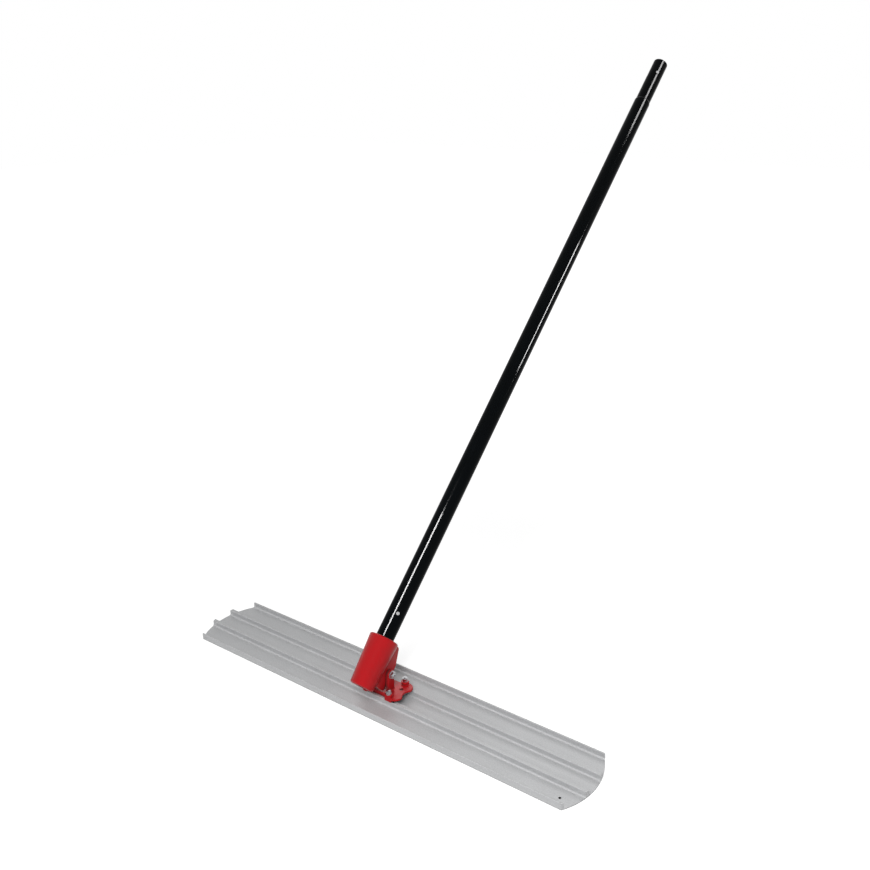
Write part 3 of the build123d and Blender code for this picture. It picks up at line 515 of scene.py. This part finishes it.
def coated(name, color, edge_color, roughness, scale, depth, skin_scale, skin_height, specular=0.5,
           shade_reach=0.004, shade_full=0.35):
    """A coat with a fine skin; roughness is a (low, high) pair."""
    finish, tree, shader = new_finish(name)
    shader.inputs["Specular IOR Level"].default_value = specular
    tone = place_group(tree, MOTTLE, (-500, 200), Color=(*color, 1), Scale=scale, Depth=depth)
    skin = place_group(tree, MOTTLE, (-500, -200), Scale=skin_scale, Depth=0.0)
    edges = place_group(tree, EDGES, (-500, 450), Width=COAT_EDGE, Grain=COAT_GRAIN)
    rubbed = blend_colors(tree, edges.outputs["Mask"], tone.outputs["Color"], edge_color, (-150, 250))
    # Painted shade: ambient occlusion darkens the coat in hollows and under overhangs.
    shade_mask = place_group(tree, PAINTED_SHADE, (-500, 700), Reach=shade_reach, Full=shade_full)
    surface = blend_colors(tree, shade_mask.outputs["Mask"], rubbed, PAINTED_SHADE_COLOR, (50, 450))
    tree.links.new(surface, shader.inputs["Base Color"])
    tree.links.new(spread(tree, tone.outputs["Mask"], *roughness, (0, 0)), shader.inputs["Roughness"])
    bump(tree, shader, skin.outputs["Mask"], SKIN_STRENGTH, skin_height)
    return finish


print("Recipe: coat")

# %% [markdown]
# The blade is extruded, so besides fine lines it has broad faint bands along its length, where the metal flowed
# past different parts of the die. A second set of streaks, far wider, shifts its tone. Its metallic value is low,
# which stands for the thin dull oxide on a satin extrusion.

# %% Blade finish
BLADE_TONE = (0.6, 0.605, 0.612)
BLADE_BAND = (0.52, 0.526, 0.534)
BLADE_EDGE = (0.72, 0.725, 0.73)
BLADE_METALLIC = 0.2
BLADE_SPECULAR = 0.3


def blade_finish():
    """Satin extruded aluminium with fine die lines and broad bands along the blade."""
    finish, tree, shader = new_finish("blade_aluminium")
    shader.inputs["Metallic"].default_value = BLADE_METALLIC
    shader.inputs["Specular IOR Level"].default_value = BLADE_SPECULAR
    tone = place_group(tree, MOTTLE, (-700, 250), Color=(*BLADE_TONE, 1), Scale=9.0, Depth=0.14)
    bands = place_group(tree, STREAKS, (-700, 0), Stretch=(0.8, 55.0, 55.0), Roughness=0.45)
    lines = place_group(tree, STREAKS, (-700, -250), Stretch=(3.0, 700.0, 700.0))
    edges = place_group(tree, EDGES, (-700, 500), Width=0.0008)
    band_level = spread(tree, bands.outputs["Lines"], 0.0, 0.35, (-450, 0))
    banded = blend_colors(tree, band_level, tone.outputs["Color"], BLADE_BAND, (-200, 200))
    grain = place_group(tree, MOTTLE, (0, 100), Scale=320.0, Depth=0.5)
    tree.links.new(banded, grain.inputs["Color"])
    rubbed = blend_colors(tree, edges.outputs["Mask"], grain.outputs["Color"], BLADE_EDGE, (200, 300))
    # Painted shade: ambient occlusion darkens the hanging hole and the roots of the ribs.
    shade_mask = place_group(tree, PAINTED_SHADE, (-700, 750), Reach=0.008, Full=0.5)
    surface = blend_colors(tree, shade_mask.outputs["Mask"], rubbed, PAINTED_SHADE_COLOR, (350, 500))
    tree.links.new(surface, shader.inputs["Base Color"])
    tree.links.new(spread(tree, lines.outputs["Lines"], 0.44, 0.56, (0, 0)), shader.inputs["Roughness"])
    bump(tree, shader, lines.outputs["Lines"], 0.3, 0.00002)
    return finish


BLADE = blade_finish()
print("Finish:", BLADE.name)

# %% [markdown]
# The pole is a drawn aluminium tube with a smooth black gloss coat. What shows in it are its highlights, so its
# skin may only have faint lines along the tube: any other grain would fray them. The pole's lean is read from the
# joint that it twists about, to turn the lines that way.

# %% Pole finish
pole_axis = next(Vector(joint["axis"]) for joint in frame["joints"] if joint["name"] == "pole_twist")
POLE_LEAN = math.atan2(pole_axis.y, pole_axis.z)
POLE_BLACK = (0.002, 0.003, 0.0038)
POLE_EDGE = (0.008, 0.008, 0.0085)
POLE_SPECULAR = 0.03


def pole_finish():
    """Gloss black with faint draw lines along the tube and a slightly greyer tone on its edges."""
    finish, tree, shader = new_finish("black_pole")
    shader.inputs["Specular IOR Level"].default_value = POLE_SPECULAR
    tone = place_group(tree, MOTTLE, (-500, 250), Color=(*POLE_BLACK, 1), Scale=12.0, Depth=0.5)
    lines = place_group(tree, STREAKS, (-500, -50), Turn=(POLE_LEAN, 0.0, 0.0), Stretch=(400.0, 400.0, 0.6))
    edges = place_group(tree, EDGES, (-500, 500), Width=0.0006)
    surface = blend_colors(tree, edges.outputs["Mask"], tone.outputs["Color"], POLE_EDGE, (-150, 250))
    tree.links.new(surface, shader.inputs["Base Color"])
    tree.links.new(spread(tree, tone.outputs["Mask"], 0.05, 0.08, (0, 0)), shader.inputs["Roughness"])
    bump(tree, shader, lines.outputs["Lines"], 0.02, 0.000002)
    return finish


POLE = pole_finish()
print("Finish:", POLE.name, "lean", round(math.degrees(POLE_LEAN), 2))

# %% [markdown]
# The bracket is gloss red over a sand casting. Fasteners are zinc, the snap buttons bright steel, and what hides
# inside is bronze, turned steel, nylon and rubber. Each record entry names its slot, so one loop dresses every node.

# %% Other finishes
RED = (0.52, 0.008, 0.012)
# Lighter red on edges: partly wear where the coat thins, partly a painted edge highlight.
RED_EDGE_WEAR_AND_HIGHLIGHT = (0.62, 0.05, 0.05)
FINISHES = {
    "blade_aluminium": BLADE,
    # The red paint's long painted-shade reach darkens the base under the barrel.
    "red_paint": coated(
        "red_paint", RED, RED_EDGE_WEAR_AND_HIGHLIGHT, roughness=(0.3, 0.42), scale=30.0, depth=0.25,
        skin_scale=700.0, skin_height=0.00006, specular=0.25, shade_reach=0.035, shade_full=0.38),
    "zinc_steel": metal(
        "zinc_steel", (0.56, 0.565, 0.58), (0.72, 0.72, 0.73), roughness=(0.2, 0.34),
        stretch=(240.0, 240.0, 240.0), scale=160.0, depth=0.35),
    "gear_bronze": metal(
        "gear_bronze", (0.6, 0.4, 0.18), (0.75, 0.55, 0.3), roughness=(0.28, 0.42),
        stretch=(30.0, 900.0, 900.0), scale=90.0, depth=0.25),
    "machined_steel": metal(
        "machined_steel", (0.42, 0.42, 0.43), (0.6, 0.6, 0.6), roughness=(0.25, 0.38),
        stretch=(400.0, 400.0, 400.0), scale=90.0, depth=0.2),
    "adapter_aluminium": metal(
        "adapter_aluminium", (0.55, 0.56, 0.57), (0.7, 0.7, 0.7), roughness=(0.25, 0.38),
        stretch=(500.0, 60.0, 60.0), scale=18.0, depth=0.12),
    "black_pole": POLE,
    "black_nylon": coated(
        "black_nylon", (0.02, 0.02, 0.021), (0.05, 0.05, 0.05), roughness=(0.45, 0.6), scale=40.0, depth=0.3,
        skin_scale=900.0, skin_height=0.0001),
    "black_rubber": coated(
        "black_rubber", (0.013, 0.013, 0.013), (0.03, 0.03, 0.03), roughness=(0.6, 0.8), scale=60.0, depth=0.4,
        skin_scale=1200.0, skin_height=0.00015),
    "button_steel": metal(
        "button_steel", (0.5, 0.505, 0.51), (0.66, 0.66, 0.67), roughness=(0.16, 0.26),
        stretch=(300.0, 300.0, 300.0), scale=200.0, depth=0.2),
    "spring_steel": metal(
        "spring_steel", (0.38, 0.39, 0.41), (0.55, 0.55, 0.56), roughness=(0.22, 0.35),
        stretch=(60.0, 600.0, 600.0), scale=120.0, depth=0.2),
}
for entry in frame["record"]["subparts"]:
    node = frame["nodes"][entry["node"]]
    node.data.materials.clear()
    node.data.materials.append(FINISHES[entry["material_slot"]])
print("Finishes:", sorted(FINISHES))

# %% [markdown]
# ## Studs
# Four studs stand in the ribs and carry the nuts. In the solids they are plain rods, and the ends that stick out
# of the nuts would look like pegs. A real stud has a thread, one groove wound round it. A thread could be faked
# with a bump, but then its outline stays straight. Here the outline of one groove goes round the rod in small
# steps that climb a pitch for each turn, so the next turn starts where the last one ended. Blender's spin does this
# in one call, but lists the faces in another order each run. The rod is then cut flat at both ends and its upper
# corner turned off.

# %% Thread helper
THREAD_STEPS = 24
THREAD_DEPTH = 0.61
THREAD_OUTLINE = ((0.0, 0.0), (0.0, 0.25), (1.0, 0.5625), (1.0, 0.6875), (0.0, 1.0))
THREAD_CHAMFER = 0.0007
THREAD_SNAP = 0.001
SHARP_FROM = math.radians(25)


def wind_thread(radius, pitch, foot, tip):
    """A threaded rod along Z between two heights, closed at both ends."""
    shape = bmesh.new()
    depth = THREAD_DEPTH * pitch
    snap = THREAD_SNAP * pitch
    turns = math.ceil((tip - foot) / pitch) + 2
    columns = []
    for step in range(THREAD_STEPS * turns + 1):
        around = Matrix.Rotation(math.tau * step / THREAD_STEPS, 3, "Z")
        rise = foot + (step / THREAD_STEPS - 1) * pitch
        columns.append([
            shape.verts.new(around @ Vector((radius - depth + out * depth, 0, rise + up * pitch)))
            for out, up in THREAD_OUTLINE])
    for near, far in zip(columns, columns[1:]):
        for i in range(len(THREAD_OUTLINE) - 1):
            shape.faces.new((near[i], far[i], far[i + 1], near[i + 1]))
    bmesh.ops.remove_doubles(shape, verts=shape.verts, dist=snap)
    for vert in shape.verts:
        limit = radius - max(0.0, vert.co.z - tip + THREAD_CHAMFER)
        reach = vert.co.xy.length
        if reach > limit:
            vert.co.xy *= limit / reach
    for height, outward in ((foot, -1), (tip, 1)):
        everything = shape.verts[:] + shape.edges[:] + shape.faces[:]
        cut = bmesh.ops.bisect_plane(
            shape, geom=everything, dist=snap, plane_co=(0, 0, height), plane_no=(0, 0, outward),
            clear_outer=True)
        rim = [item for item in cut["geom_cut"] if isinstance(item, bmesh.types.BMEdge)]
        bmesh.ops.holes_fill(shape, edges=rim)
    bmesh.ops.recalc_face_normals(shape, faces=shape.faces)
    return shape


def take_in(shape, other, place):
    """Move a copy of another bmesh's faces into a shape, at a place."""
    carrier = bpy.data.meshes.new("carrier")
    other.to_mesh(carrier)
    carrier.transform(Matrix.Translation(place))
    shape.from_mesh(carrier)
    bpy.data.meshes.remove(carrier)


def finished_piece(name, shape, body, slot, *nodes):
    """Make a bmesh an object at the origin that rides on a body and stands for some CAD nodes."""
    mesh = bpy.data.meshes.new(name)
    shape.to_mesh(mesh)
    shape.free()
    mesh.shade_smooth()
    mesh.set_sharp_from_angle(angle=SHARP_FROM)
    mesh.materials.append(FINISHES[slot])
    piece = bpy.data.objects.new(name, mesh)
    scene.collection.objects.link(piece)
    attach(piece, body)
    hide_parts(*nodes)
    print(name, "faces:", len(mesh.polygons))


# %% Threaded studs
STUD_RADIUS = 0.004
STUD_PITCH = 0.00125

low, high = (Vector(corner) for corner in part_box("bracket_studs"))
stud = wind_thread(STUD_RADIUS, STUD_PITCH, low.z, high.z)
studs = bmesh.new()
for x in (low.x + STUD_RADIUS, high.x - STUD_RADIUS):
    for y in (low.y + STUD_RADIUS, high.y - STUD_RADIUS):
        take_in(studs, stud, (x, y, 0))
stud.free()
finished_piece("threaded_studs", studs, "float_head", "zinc_steel", "bracket_studs")
